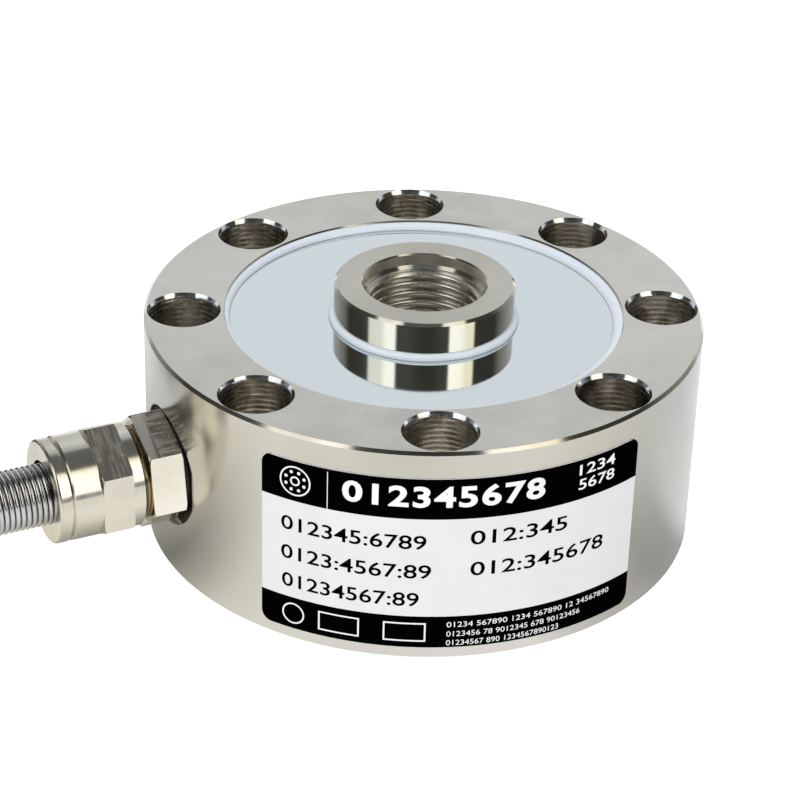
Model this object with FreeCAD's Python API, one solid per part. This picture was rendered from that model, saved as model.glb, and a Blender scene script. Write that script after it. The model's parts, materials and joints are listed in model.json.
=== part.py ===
import FreeCAD, Part
import math
import os

# A spoke type load cell, in millimetres. The origin is at the centre of the base, +Z runs up
# the central thread, and the cable gland points along -X.

# Rim
rim_diameter = 105.0
rim_height = 43.0
rim_width = 15.1
rim_edge_chamfer = 0.55
opening_edge_chamfer = 0.25

# Hub
hub_diameter = 34.0
hub_rise = 5.7
hub_base_gap = 0.5
hub_edge_chamfer = 0.5
hub_seat_width = 1.4

# Central thread
thread_diameter = 22.0
thread_relief_diameter = 23.2
thread_relief_depth = 2.3
relief_edge_chamfer = 0.25
thread_base_chamfer = 0.9

# Covers and their silicone beads
cover_thickness = 1.0
top_cover_depth = 1.5
bottom_cover_depth = 2.2
rim_seat_width = 2.0
cover_clearance = 0.1
outer_bead_width = 1.5
outer_bead_height = 1.2
inner_bead_width = 0.9
inner_bead_height = 1.25
bead_bulge = 0.5

# Spokes
spoke_count = 4
spoke_width = 12.0
spoke_height = 26.0
spoke_end_fillet = 3.0
web_fillet = 1.5
gauge_recess_diameter = 10.0
gauge_recess_depth = 2.0
gauge_recess_fillet = 0.8

# Bolt holes
bolt_count = 8
bolt_circle_inset = 7.5
bolt_hole_diameter = 13.0
bolt_mouth_width = 0.4
bolt_mouth_depth = 0.8

# Strain gauges and their wires
gauge_length = 5.0
gauge_width = 3.6
gauge_thickness = 0.2
gauge_wire_diameter = 0.5
gauge_wire_gap = 0.05
gauge_tab_offset = 1.25
gauge_wire_ramp = (2.75, 4.0)

# Terminal board
board_pad_length = 8.0
board_pad_width = 7.0
board_pad_thickness = 0.5
board_thickness = 1.6
board_edge_gap = 0.4
resistor_count = 6
resistor_length = 3.2
resistor_width = 1.6
resistor_height = 0.8
resistor_first_angle = 15.0

# Rating label
label_length = 72.3
label_height = 35.3
label_top_gap = 5.1
label_thickness = 0.15
label_corner = 2.0
label_centre_angle = 250.95

# Gland
gland_drop = 0.2
gland_thread_diameter = 16.0
gland_thread_clearance = 0.05
gland_thread_reach = 8.0
gland_thread_chamfer = 0.5
gland_port_depth = 10.0
gland_passage_diameter = 10.0
gland_spot_diameter = 22.8
gland_spot_depth = 1.1
gasket_thickness = 0.8
gasket_width = 1.3
hex_across_flats = 19.2
hex_corner_chamfer = 0.25
body_hex_length = 6.3
body_hex_turn = 10.3
nut_hex_turn = 0.0
gland_neck_length = 8.0
collar_ring_thickness = 0.7
collar_ring_width = 0.6
collar_ring_gap = 0.4
nut_collar_diameter = 19.4
nut_lower_collar = 2.4
nut_hex_length = 5.8
nut_upper_collar = 5.4
nut_edge_chamfer = 0.25
nut_shoulder = 2.0
grommet_wall = 3.3
grommet_length = 5.4
grommet_proud = 0.5
thrust_ring_thickness = 1.0
cap_groove_width = 0.7
cap_groove_depth = 0.8
cap_length = 2.1
cap_edge_round = 0.5
cap_spigot_length = 2.0
cap_spigot_diameter = 15.0

# Spring sleeve
sleeve_diameter = 11.7
sleeve_wire = 1.0
sleeve_pitch = 1.03
sleeve_root_depth = 0.42
sleeve_flange_width = 0.6
sleeve_flange_thickness = 0.9
sleeve_free_length = 32.0
sleeve_clearance = 0.05

# Cable
cable_diameter = 6.5
cable_bore_clearance = 0.4
cable_grip_clearance = 0.05
cable_inner_reach = 4.0
core_diameter = 1.3
core_spacing = 2.0
core_bend = 3.0
core_foot_offset = 2.0
coil_mean_diameter = 78.0
coil_columns = 3
coil_layers = 4
coil_centre = (-120.5, 92.5)
coil_end_turn = 100.0
coil_lead_in = 24.5
tie_thickness = 1.0
tie_width = 3.6
tie_corner = 1.2
tie_head_size = 5.0
tie_head_rise = 3.0
tie_angles = (110.0, 235.0, 320.0)
coil_step_slack = 1.2
coil_step_end_room = 5.0
shrink_length = 20.0
shrink_wall = 0.25
lead_length = 44.0
lead_diameter = 1.3
lead_pitch = 1.36
lead_bunch_radius = 1.25
lead_bunch_angles = (162.0, 234.0, 90.0, 306.0, 18.0)
lead_clearance = 0.06
tip_length = 6.0
tip_diameter = 0.9

# Levels and radii that follow from the sizes above
rim_radius = rim_diameter / 2
hub_radius = hub_diameter / 2
hub_top = rim_height + hub_rise
opening_radius = rim_radius - rim_width
bolt_circle_radius = rim_radius - bolt_circle_inset
cavity_radius = opening_radius - rim_seat_width
hub_seat_radius = hub_radius + hub_seat_width
top_seat = rim_height - top_cover_depth - cover_thickness
bottom_seat = bottom_cover_depth + cover_thickness
middle = rim_height / 2
spoke_top = middle + spoke_height / 2
spoke_bottom = middle - spoke_height / 2
spoke_middle_radius = (hub_seat_radius + cavity_radius) / 2
board_bottom = spoke_top + board_pad_thickness
gland_z = middle - gland_drop
cable_radius = cable_diameter / 2

# Stations along the gland, as distances from the central axis
spot_face = rim_radius - gland_spot_depth
body_hex_start = spot_face + gasket_thickness
body_hex_end = body_hex_start + body_hex_length
neck_end = body_hex_end + gland_neck_length
nut_start = body_hex_end + collar_ring_thickness + collar_ring_gap
nut_hex_start = nut_start + nut_lower_collar
nut_hex_end = nut_hex_start + nut_hex_length
nut_end = nut_hex_end + nut_upper_collar
cap_shoulder = nut_end + cap_groove_width
cap_end = cap_shoulder + cap_length
grommet_start = neck_end - grommet_length + grommet_proud
sleeve_start = nut_end - cap_spigot_length - sleeve_flange_thickness - sleeve_clearance
sleeve_end = cap_end + sleeve_free_length
cable_inner_start = spot_face - gland_port_depth - cable_inner_reach

os.makedirs("parts", exist_ok=True)

LEAD_COLOURS = ("red", "black", "green", "white", "shield")
UP = FreeCAD.Vector(0, 0, 1)
ORIGIN = FreeCAD.Vector(0, 0, 0)


# Geometry helpers

def save(name, *solids):
    """Write one or more solids as a node, and report them."""
    shape = solids[0] if len(solids) == 1 else Part.makeCompound(list(solids))
    shape.exportStep(f"parts/{name}.step")
    print(f"{name}: {len(shape.Solids)} solid(s), volume {shape.Volume:.1f} mm3, valid {shape.isValid()}")


def corner_arc(before, corner, after, radius):
    """The start, middle and end of the arc that rounds a corner."""
    back = (before - corner).normalize()
    ahead = (after - corner).normalize()
    half = back.getAngle(ahead) / 2
    reach = radius / math.tan(half)
    inward = (back + ahead).normalize()
    middle_point = corner + inward * (radius / math.sin(half) - radius)
    return corner + back * reach, middle_point, corner + ahead * reach


def rounded_wire(points, radii, closed):
    """A wire of straight runs, with an arc at each point that has a radius."""
    edges = []
    count = len(points)
    arcs = {}
    for i, radius in enumerate(radii):
        inner = closed or 0 < i < count - 1
        if inner and radius > 0:
            arcs[i] = corner_arc(points[i - 1], points[i], points[(i + 1) % count], radius)
    for i in range(count if closed else count - 1):
        j = (i + 1) % count
        start = arcs[i][2] if i in arcs else points[i]
        end = arcs[j][0] if j in arcs else points[j]
        if start.distanceToPoint(end) > 1e-7:
            edges.append(Part.LineSegment(start, end).toShape())
        if j in arcs:
            edges.append(Part.Arc(*arcs[j]).toShape())
    return Part.Wire(edges)


def turned(profile, angle=360.0):
    """Revolve a profile about Z. Each point is (radius, height) or (radius, height, rounding)."""
    points = [FreeCAD.Vector(p[0], 0, p[1]) for p in profile]
    radii = [p[2] if len(p) > 2 else 0 for p in profile]
    face = Part.Face(rounded_wire(points, radii, True))
    return face.revolve(ORIGIN, UP, angle)


def about_z(shape, angle):
    copy = shape.copy()
    copy.rotate(ORIGIN, UP, angle)
    return copy


def around(shape, count, first=0.0):
    """Copies of a shape, evenly spaced about Z."""
    return [about_z(shape, first + 360.0 * i / count) for i in range(count)]


def on_gland_axis(shape):
    """Lay a shape that was made along +Z onto the gland's axis, pointing along -X."""
    shape.rotate(ORIGIN, FreeCAD.Vector(0, 1, 0), -90)
    shape.translate(FreeCAD.Vector(0, 0, gland_z))
    return shape


def flipped(shape):
    """The same shape, upside down about the rim's middle height."""
    return shape.mirror(FreeCAD.Vector(0, 0, middle), UP)


def ring(inner, outer, low, high):
    return turned([(inner, low), (outer, low), (outer, high), (inner, high)])


def hexagon(across, start, end, turn):
    """A hexagon bar along Z, with its corners turned down at both ends."""
    corner = across / 2 / math.cos(math.pi / 6)
    points = [FreeCAD.Vector(corner * math.cos(math.radians(turn + 60 * i)),
                             corner * math.sin(math.radians(turn + 60 * i)), start) for i in range(6)]
    bar = Part.Face(Part.makePolygon(points + points[:1])).extrude(UP * (end - start))
    edge = hex_corner_chamfer
    flat = corner - 2 * edge
    return bar.common(turned([(0, start), (flat, start), (corner, start + edge),
                              (corner, end - edge), (flat, end), (0, end)]))


def tube(points, diameter, label=None):
    """A round bar along straight runs joined by the widest arcs that the runs allow."""
    points = [FreeCAD.Vector(*p) for p in points]
    runs = [a.distanceToPoint(b) for a, b in zip(points, points[1:])]
    radii = [0.0] * len(points)
    for i in range(1, len(points) - 1):
        turn = (points[i] - points[i - 1]).getAngle(points[i + 1] - points[i])
        radii[i] = 0.45 * min(runs[i - 1], runs[i]) / math.tan(turn / 2)
    path = rounded_wire(points, radii, False)
    section = Part.Wire(Part.makeCircle(diameter / 2, points[0], points[1] - points[0]))
    solid = path.makePipeShell([section], True, False)
    if label:
        expected = math.pi * (diameter / 2) ** 2 * path.Length
        print(f"{label}: length {path.Length:.1f}, radii {[round(r, 1) for r in radii[1:-1]]},",
              f"volume is {solid.Volume / expected:.5f} of section times length")
    return solid


# Sensor body: rim, spokes and hub in one piece

def sensor_body():
    thread = thread_diameter / 2
    relief = thread_relief_diameter / 2
    edge = opening_edge_chamfer
    body = turned([
        (thread + thread_base_chamfer, hub_base_gap),
        (hub_radius - hub_edge_chamfer, hub_base_gap),
        (hub_radius, hub_base_gap + hub_edge_chamfer),
        (hub_radius, bottom_seat),
        (hub_seat_radius, bottom_seat),
        (hub_seat_radius, spoke_bottom, web_fillet),
        (cavity_radius, spoke_bottom, web_fillet),
        (cavity_radius, bottom_seat),
        (opening_radius, bottom_seat),
        (opening_radius, edge),
        (opening_radius + edge, 0),
        (rim_radius - rim_edge_chamfer, 0),
        (rim_radius, rim_edge_chamfer),
        (rim_radius, rim_height - rim_edge_chamfer),
        (rim_radius - rim_edge_chamfer, rim_height),
        (opening_radius + edge, rim_height),
        (opening_radius, rim_height - edge),
        (opening_radius, top_seat),
        (cavity_radius, top_seat),
        (cavity_radius, spoke_top, web_fillet),
        (hub_seat_radius, spoke_top, web_fillet),
        (hub_seat_radius, top_seat),
        (hub_radius, top_seat),
        (hub_radius, hub_top - hub_edge_chamfer),
        (hub_radius - hub_edge_chamfer, hub_top),
        (relief + relief_edge_chamfer, hub_top),
        (relief, hub_top - relief_edge_chamfer),
        (relief, hub_top - thread_relief_depth),
        (thread, hub_top - thread_relief_depth - (relief - thread)),
        (thread, hub_base_gap + thread_base_chamfer)])
    tools = pockets() + gauge_recesses() + bolt_holes() + [gland_port()]
    return body.cut(tools)


def pockets():
    """The sector-shaped windows between the spokes, with rounded corners."""
    low = spoke_bottom - web_fillet
    high = spoke_top + web_fillet
    web = ring(hub_seat_radius, cavity_radius, low, high)
    strip = Part.makeBox(cavity_radius + 1, spoke_width, high - low,
                         FreeCAD.Vector(0, -spoke_width / 2, low))
    first = 180.0 / spoke_count
    windows = web.cut(around(strip, spoke_count, first))
    rounded = []
    for window in windows.Solids:
        upright = [e for e in window.Edges
                   if isinstance(e.Curve, Part.Line) and abs(e.tangentAt(e.FirstParameter).z) > 0.99]
        rounded.append(window.makeFillet(spoke_end_fillet, upright))
    return rounded


def on_spoke_sides(shape):
    """Copy a shape onto both sides of each spoke.

    It is made about the local origin, with +Z pointing out of the spoke's side.
    """
    copies = []
    for i in range(spoke_count):
        for side in (1, -1):
            piece = shape.copy()
            piece.rotate(ORIGIN, FreeCAD.Vector(1, 0, 0), -90 * side)
            piece.translate(FreeCAD.Vector(spoke_middle_radius, side * spoke_width / 2, middle))
            copies.append(about_z(piece, (i + 0.5) * 360.0 / spoke_count))
    return copies


def gauge_recesses():
    radius = gauge_recess_diameter / 2
    return on_spoke_sides(turned([(0, -gauge_recess_depth),
                                  (radius, -gauge_recess_depth, gauge_recess_fillet),
                                  (radius, 1.0), (0, 1.0)]))


def bolt_holes():
    radius = bolt_hole_diameter / 2
    mouth = radius + bolt_mouth_width
    past = 1.0
    tool = turned([(0, -past), (mouth, -past), (mouth, 0), (radius, bolt_mouth_depth),
                   (radius, rim_height - bolt_mouth_depth), (mouth, rim_height),
                   (mouth, rim_height + past), (0, rim_height + past)])
    tool.translate(FreeCAD.Vector(bolt_circle_radius, 0, 0))
    return around(tool, bolt_count, 180.0 / bolt_count)


def gland_port():
    """The flat spot, the threaded port and the cable passage through the rim."""
    passage = gland_passage_diameter / 2
    port = gland_thread_diameter / 2
    port_end = spot_face - gland_port_depth
    spot = gland_spot_diameter / 2
    past = rim_radius + 2.0
    return on_gland_axis(turned([(0, cavity_radius - 2.0), (passage, cavity_radius - 2.0),
                                 (passage, port_end - (port - passage) / 2), (port, port_end),
                                 (port, spot_face), (spot, spot_face), (spot, past), (0, past)]))


# Covers and beads

def cover(low):
    return ring(hub_radius + cover_clearance, opening_radius - cover_clearance, low,
                low + cover_thickness)


def bead(wall, cover_top, width, height):
    """A silicone bead in the corner of a cover and a wall. A negative width lies inside the wall."""
    corner = FreeCAD.Vector(wall, 0, cover_top)
    foot = FreeCAD.Vector(wall + width, 0, cover_top)
    head = FreeCAD.Vector(wall, 0, cover_top + height)
    outward = (foot + head) * 0.5 - corner
    crest = (foot + head) * 0.5 + outward.normalize() * bead_bulge
    edges = [Part.LineSegment(corner, foot).toShape(), Part.Arc(foot, crest, head).toShape(),
             Part.LineSegment(head, corner).toShape()]
    return Part.Face(Part.Wire(edges)).revolve(ORIGIN, UP, 360)


# Strain gauges, wires and the terminal board

def strain_gauges():
    pad = Part.makeBox(gauge_length, gauge_width, gauge_thickness,
                       FreeCAD.Vector(-gauge_length / 2, -gauge_width / 2, -gauge_recess_depth))
    pad.rotate(ORIGIN, UP, 45)
    return on_spoke_sides(pad)


def gauge_wires():
    """One wire from each gauge, out of its recess and up to the board."""
    lift = gauge_wire_diameter / 2 + gauge_wire_gap
    pad_face = gauge_thickness - gauge_recess_depth + lift
    recess = gauge_recess_diameter / 2
    climb = board_bottom - middle - gauge_wire_gap
    ramp_start, ramp_end = gauge_wire_ramp
    route = [(0, -gauge_tab_offset, pad_face), (0, -ramp_start, pad_face),
             (0, -ramp_end, lift), (0, -climb, lift)]
    wire = tube(route, gauge_wire_diameter)
    wires = on_spoke_sides(wire)
    for i, piece in enumerate(wires):
        if piece.BoundBox.ZMin < middle - recess:
            centre = FreeCAD.Vector(0, 0, middle)
            wires[i] = piece.mirror(centre, UP)
    return wires


def terminal_board():
    inner = hub_seat_radius + web_fillet + board_edge_gap
    outer = cavity_radius - web_fillet - board_edge_gap
    return ring(inner, outer, board_bottom, board_bottom + board_thickness)


def board_pads():
    pad = Part.makeBox(board_pad_length, board_pad_width, board_pad_thickness,
                       FreeCAD.Vector(spoke_middle_radius - board_pad_length / 2,
                                      -board_pad_width / 2, spoke_top))
    return around(pad, spoke_count, 180.0 / spoke_count)


def trim_resistors():
    top = board_bottom + board_thickness
    chip = Part.makeBox(resistor_width, resistor_length, resistor_height,
                        FreeCAD.Vector(spoke_middle_radius - resistor_width / 2,
                                       -resistor_length / 2, top))
    return around(chip, resistor_count, resistor_first_angle)


# Rating label: a thin curved sheet with rounded corners on the rim's side

def rating_label():
    sheet = ring(rim_radius, rim_radius + label_thickness, 0, rim_height)
    half = rim_radius * math.sin(label_length / 2 / rim_radius)
    top = rim_height - label_top_gap
    bottom = top - label_height
    outline = [FreeCAD.Vector(0, -half, bottom), FreeCAD.Vector(0, half, bottom),
               FreeCAD.Vector(0, half, top), FreeCAD.Vector(0, -half, top)]
    face = Part.Face(rounded_wire(outline, [label_corner] * 4, True))
    block = face.extrude(FreeCAD.Vector(rim_radius + 1, 0, 0))
    return about_z(sheet.common(block), label_centre_angle)


# Gland

def gland_body():
    thread = gland_thread_diameter / 2 - gland_thread_clearance
    bore = cable_radius + cable_bore_clearance
    seat = cable_radius + grommet_wall + cable_grip_clearance
    start = spot_face - gland_thread_reach
    entry = gland_thread_chamfer
    stem = turned([(bore, start), (thread - entry, start), (thread, start + entry),
                   (thread, neck_end - entry), (thread - entry, neck_end), (seat, neck_end),
                   (seat, grommet_start), (bore, grommet_start - (seat - bore) / 2)])
    hole = Part.makeCylinder(thread - entry, body_hex_length, UP * body_hex_start)
    bar = hexagon(hex_across_flats, body_hex_start, body_hex_end, body_hex_turn).cut(hole)
    return on_gland_axis(stem.fuse(bar))


def gland_gasket():
    inner = gland_thread_diameter / 2 + gland_thread_clearance
    return on_gland_axis(ring(inner, inner + gasket_width, spot_face, body_hex_start))


def gland_ring():
    inner = gland_thread_diameter / 2 + gland_thread_clearance
    return on_gland_axis(ring(inner, inner + collar_ring_width, body_hex_end,
                              body_hex_end + collar_ring_thickness))


def gland_nut():
    collar = nut_collar_diameter / 2
    edge = nut_edge_chamfer
    thread = gland_thread_diameter / 2 + gland_thread_clearance
    hole = cable_radius + cable_bore_clearance
    cap_thread = cap_spigot_diameter / 2 + gland_thread_clearance
    shoulder = sleeve_start - sleeve_clearance - nut_shoulder
    blank = turned([(0, nut_start), (collar - edge, nut_start), (collar, nut_start + edge),
                    (collar, nut_end - edge), (collar - edge, nut_end), (0, nut_end)])
    bar = hexagon(hex_across_flats, nut_hex_start, nut_hex_end, nut_hex_turn)
    inside = turned([(0, nut_start - 1), (thread, nut_start - 1), (thread, shoulder),
                     (hole, shoulder), (hole, shoulder + nut_shoulder),
                     (cap_thread, shoulder + nut_shoulder), (cap_thread, nut_end + 1),
                     (0, nut_end + 1)])
    return on_gland_axis(blank.fuse(bar).cut(inside))


def thrust_ring():
    shoulder = sleeve_start - sleeve_clearance - nut_shoulder
    return on_gland_axis(ring(cable_radius + cable_bore_clearance,
                              gland_thread_diameter / 2 - cable_bore_clearance,
                              shoulder - thrust_ring_thickness, shoulder))


def gland_grommet():
    end = sleeve_start - sleeve_clearance - nut_shoulder - thrust_ring_thickness
    return on_gland_axis(ring(cable_radius + cable_grip_clearance, cable_radius + grommet_wall,
                              grommet_start, end))


def sleeve_cap():
    bore = sleeve_diameter / 2 + sleeve_clearance
    outer = nut_collar_diameter / 2
    spigot = cap_spigot_diameter / 2
    return on_gland_axis(turned([
        (bore, nut_end - cap_spigot_length), (spigot, nut_end - cap_spigot_length),
        (spigot, nut_end), (outer - cap_groove_depth, nut_end),
        (outer - cap_groove_depth, cap_shoulder), (outer, cap_shoulder),
        (outer, cap_end, cap_edge_round), (bore, cap_end)]))


def spring_sleeve():
    """The sleeve of close-wound wire, with one rounded ridge for each turn."""
    outer = sleeve_diameter / 2
    inner = outer - sleeve_wire
    root = outer - sleeve_root_depth
    flange = outer + sleeve_flange_width
    flange_end = sleeve_start + sleeve_flange_thickness
    turns = round((sleeve_end - flange_end) / sleeve_pitch)
    first = sleeve_end - turns * sleeve_pitch
    corners = [(root, first), (flange, first), (flange, sleeve_start), (inner, sleeve_start),
               (inner, sleeve_end), (root, sleeve_end)]
    points = [FreeCAD.Vector(radius, 0, station) for radius, station in corners]
    edges = [Part.LineSegment(a, b).toShape() for a, b in zip(points, points[1:])]
    for turn in reversed(range(turns)):
        low = first + turn * sleeve_pitch
        edges.append(Part.Arc(FreeCAD.Vector(root, 0, low + sleeve_pitch),
                              FreeCAD.Vector(outer, 0, low + sleeve_pitch / 2),
                              FreeCAD.Vector(root, 0, low)).toShape())
    return on_gland_axis(Part.Face(Part.Wire(edges)).revolve(ORIGIN, UP, 360))


# Cable: its inner end, the free run, the coil and the bare leads

coil_inner = coil_mean_diameter / 2 - coil_columns * cable_radius
coil_outer = coil_mean_diameter / 2 + coil_columns * cable_radius
coil_bottom = tie_thickness
coil_top = coil_bottom + coil_layers * cable_diameter
last_column = coil_outer - cable_radius
coil_end_angle = 180.0 - coil_end_turn

cable_route = [
    (-cap_end, 0.0, gland_z),
    (-116.0, 0.0, gland_z),
    (-150.0, 14.0, 12.5),
    (coil_centre[0] - last_column, 40.0, cable_radius),
    (coil_centre[0] - last_column, coil_centre[1] - coil_lead_in, cable_radius),
]


def at_coil(shape):
    shape.translate(FreeCAD.Vector(coil_centre[0], coil_centre[1], 0))
    return shape


def arc_angle(length):
    """The angle that a length covers along the coil's outermost turn."""
    return math.degrees(length / last_column)


def swept(profile, start, end):
    """A part of a turn about the coil's axis, from one angle to another."""
    return about_z(turned(profile, end - start), start)


def cable_inner_end():
    return on_gland_axis(Part.makeCylinder(cable_radius, cap_end - cable_inner_start,
                                           UP * cable_inner_start))


def inner_leads():
    """Four cores from the cable's inner end, bent up to the board."""
    offset = core_spacing / 2
    leads = []
    for side in (-offset, offset):
        for level in (-offset, offset):
            z = gland_z + level
            foot = spoke_middle_radius + core_foot_offset + level
            top = board_bottom - gauge_wire_gap
            points = [FreeCAD.Vector(-cable_inner_start, side, z), FreeCAD.Vector(-foot, side, z),
                      FreeCAD.Vector(-foot, side, top)]
            path = rounded_wire(points, [0, core_bend, 0], False)
            section = Part.Wire(Part.makeCircle(core_diameter / 2, points[0], points[1] - points[0]))
            leads.append(path.makePipeShell([section], True, False))
    return leads


def cable_coil():
    """The coil's outer shape, with a straight lead-in and a step where the leads lie."""
    bundle = ring(coil_inner, coil_outer, coil_bottom, coil_top)
    stub = Part.makeCylinder(cable_radius, coil_lead_in,
                             FreeCAD.Vector(-last_column, -coil_lead_in, cable_radius),
                             FreeCAD.Vector(0, 1, 0))
    step_low = coil_top - cable_diameter
    step_inner = coil_outer - cable_diameter - coil_step_slack
    step_end = coil_end_angle - arc_angle(shrink_length + lead_length + tip_length + coil_step_end_room)
    step = swept([(step_inner, step_low), (coil_outer + 1, step_low),
                  (coil_outer + 1, coil_top + 1), (step_inner, coil_top + 1)],
                 step_end, coil_end_angle)
    return at_coil(bundle.fuse(stub).cut(step))


def cable_ties():
    ties = []
    half = math.degrees(tie_width / 2 / last_column)
    for angle in tie_angles:
        t = tie_thickness
        outer = swept([(coil_inner - t, coil_bottom - t, tie_corner),
                       (coil_outer + t, coil_bottom - t, tie_corner),
                       (coil_outer + t, coil_top + t, tie_corner),
                       (coil_inner - t, coil_top + t, tie_corner)], angle - half, angle + half)
        inner = swept([(coil_inner, coil_bottom), (coil_outer, coil_bottom),
                       (coil_outer, coil_top), (coil_inner, coil_top)],
                      angle - 2 * half, angle + 2 * half)
        head = Part.makeBox(tie_head_rise, tie_head_size, tie_head_size,
                            FreeCAD.Vector(coil_outer, -tie_head_size / 2,
                                           (coil_bottom + coil_top - tie_head_size) / 2))
        bundle = ring(coil_inner, coil_outer, coil_bottom, coil_top)
        loop = outer.cut(inner).fuse(about_z(head, angle).cut(bundle))
        ties.append(at_coil(loop))
    return ties


def heat_shrink():
    radius = cable_radius + shrink_wall
    z = coil_top - cable_diameter + radius
    section = Part.Face(Part.Wire(Part.makeCircle(radius, FreeCAD.Vector(last_column, 0, z),
                                                  FreeCAD.Vector(0, 1, 0))))
    sweep = arc_angle(shrink_length)
    return at_coil(about_z(section.revolve(ORIGIN, UP, sweep), coil_end_angle - sweep))


def lead_points(number):
    """A lead's way from the heat-shrink's end face down onto the turns below."""
    floor = coil_top - cable_diameter + lead_diameter / 2 + lead_clearance
    centre = coil_top - cable_diameter + cable_radius + shrink_wall
    spread = (number - (len(LEAD_COLOURS) - 1) / 2) * lead_pitch
    turn = math.radians(lead_bunch_angles[number])
    start = lead_bunch_radius * math.cos(turn)
    height = centre + lead_bunch_radius * math.sin(turn)
    points = []
    for along, fan, drop in ((lead_clearance, 0, 0), (5.0, 0.15, 0.1), (14.0, 0.9, 0.6),
                             (24.0, 1.0, 1.0), (34.0, 0.95, 1.0), (lead_length, 1.0, 1.0)):
        angle = math.radians(coil_end_angle - arc_angle(shrink_length + along))
        radius = last_column + start + fan * (spread - start)
        points.append((coil_centre[0] + radius * math.cos(angle),
                       coil_centre[1] + radius * math.sin(angle), height + drop * (floor - height)))
    return points


def lead(number):
    return tube(lead_points(number), lead_diameter)


def lead_tips():
    """The tinned end of each lead, in line with its last run."""
    tips = []
    for number in range(len(LEAD_COLOURS)):
        before, end = [FreeCAD.Vector(*p) for p in lead_points(number)[-2:]]
        tips.append(Part.makeCylinder(tip_diameter / 2, tip_length, end, end - before))
    return tips


# The nodes

save("sensor_body", sensor_body())
save("top_cover", cover(top_seat))
save("bottom_cover", cover(bottom_cover_depth))
save("top_outer_seal", bead(opening_radius, rim_height - top_cover_depth,
                            -outer_bead_width, outer_bead_height))
save("top_inner_seal", bead(hub_radius, rim_height - top_cover_depth,
                            inner_bead_width, inner_bead_height))
save("bottom_outer_seal", flipped(bead(opening_radius, rim_height - bottom_cover_depth,
                                       -outer_bead_width, outer_bead_height)))
save("bottom_inner_seal", flipped(bead(hub_radius, rim_height - bottom_cover_depth,
                                       inner_bead_width, inner_bead_height)))
save("strain_gauges", *strain_gauges())
save("gauge_wires", *gauge_wires())
save("terminal_board", terminal_board())
save("board_pads", *board_pads())
save("trim_resistors", *trim_resistors())
save("rating_label", rating_label())
save("gland_body", gland_body())
save("gland_gasket", gland_gasket())
save("gland_ring", gland_ring())
save("gland_nut", gland_nut())
save("thrust_ring", thrust_ring())
save("gland_grommet", gland_grommet())
save("sleeve_cap", sleeve_cap())
save("spring_sleeve", spring_sleeve())
save("cable_inner_end", cable_inner_end())
save("inner_leads", *inner_leads())
save("cable", tube(cable_route, cable_diameter, "cable"))
save("cable_coil", cable_coil())
save("cable_ties", *cable_ties())
save("heat_shrink", heat_shrink())
for number, colour in enumerate(LEAD_COLOURS):
    save(f"lead_{colour}", lead(number))
save("lead_tips", *lead_tips())
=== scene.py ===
# %% [markdown]
# # Dressing a spoke type load cell
#
# A spoke type load cell is a low steel drum. A rim with eight plain holes is bolted down, a
# threaded hub in the middle takes the load, and four hidden spokes join the two. Thin polished
# discs, sealed with white silicone, cover the spokes. A cable leaves through a metal gland.
#
# The measured solids are loaded first. They stay where they are, and this lesson adds what solids
# are poor at: a real cable, a wound wire sleeve, a thread's ridge, silicone laid by hand, print on
# the label, and finishes.

# %% Load the measured solids
import json
import math

import bmesh
import bpy
from mathutils import Matrix, Vector


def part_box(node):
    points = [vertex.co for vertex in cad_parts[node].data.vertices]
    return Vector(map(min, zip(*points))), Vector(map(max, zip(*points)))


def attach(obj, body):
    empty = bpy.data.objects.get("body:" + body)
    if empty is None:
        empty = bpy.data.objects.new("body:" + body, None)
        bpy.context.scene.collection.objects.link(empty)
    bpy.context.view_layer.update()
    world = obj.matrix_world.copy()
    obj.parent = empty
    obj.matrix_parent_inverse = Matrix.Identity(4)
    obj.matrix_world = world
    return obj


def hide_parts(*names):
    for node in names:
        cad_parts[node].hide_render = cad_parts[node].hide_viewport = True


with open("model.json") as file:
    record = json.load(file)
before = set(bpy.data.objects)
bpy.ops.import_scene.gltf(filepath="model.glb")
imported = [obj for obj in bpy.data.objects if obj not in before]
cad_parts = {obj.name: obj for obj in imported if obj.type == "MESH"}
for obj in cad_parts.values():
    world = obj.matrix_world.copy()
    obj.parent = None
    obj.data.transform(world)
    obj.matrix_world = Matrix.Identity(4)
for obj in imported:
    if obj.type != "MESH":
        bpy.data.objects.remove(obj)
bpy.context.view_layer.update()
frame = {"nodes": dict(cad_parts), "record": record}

nodes = frame["nodes"]
MM = 0.001

# %% [markdown]
# ## The camera
#
# A photograph of a round part tells a lot about its camera: the rim's circle, drawn as an
# ellipse, gives the tilt, and the way its far side shrinks gives the distance. The three arrows
# below say where the camera looks, so its turning matrix is written from them directly.

# %% Place the camera
CAMERA_PLACE = Vector((-196.5446, -383.7514, 272.4135)) * MM
CAMERA_AHEAD = Vector((0.387444, 0.774045, -0.500740))
CAMERA_RIGHT = Vector((0.900474, -0.434154, 0.025619))
LENS = 116.79

camera_up = CAMERA_RIGHT.cross(CAMERA_AHEAD)
camera = bpy.data.objects.new("photo_camera", bpy.data.cameras.new("photo_camera"))
camera.data.lens = LENS
camera.data.clip_start = 0.01
camera.matrix_world = Matrix.Translation(CAMERA_PLACE) @ Matrix(
    (CAMERA_RIGHT, camera_up, -CAMERA_AHEAD)).transposed().to_4x4()
bpy.context.scene.collection.objects.link(camera)
bpy.context.scene.camera = camera
print("camera", round(CAMERA_PLACE.length, 3), "m from the part's foot")
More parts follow.
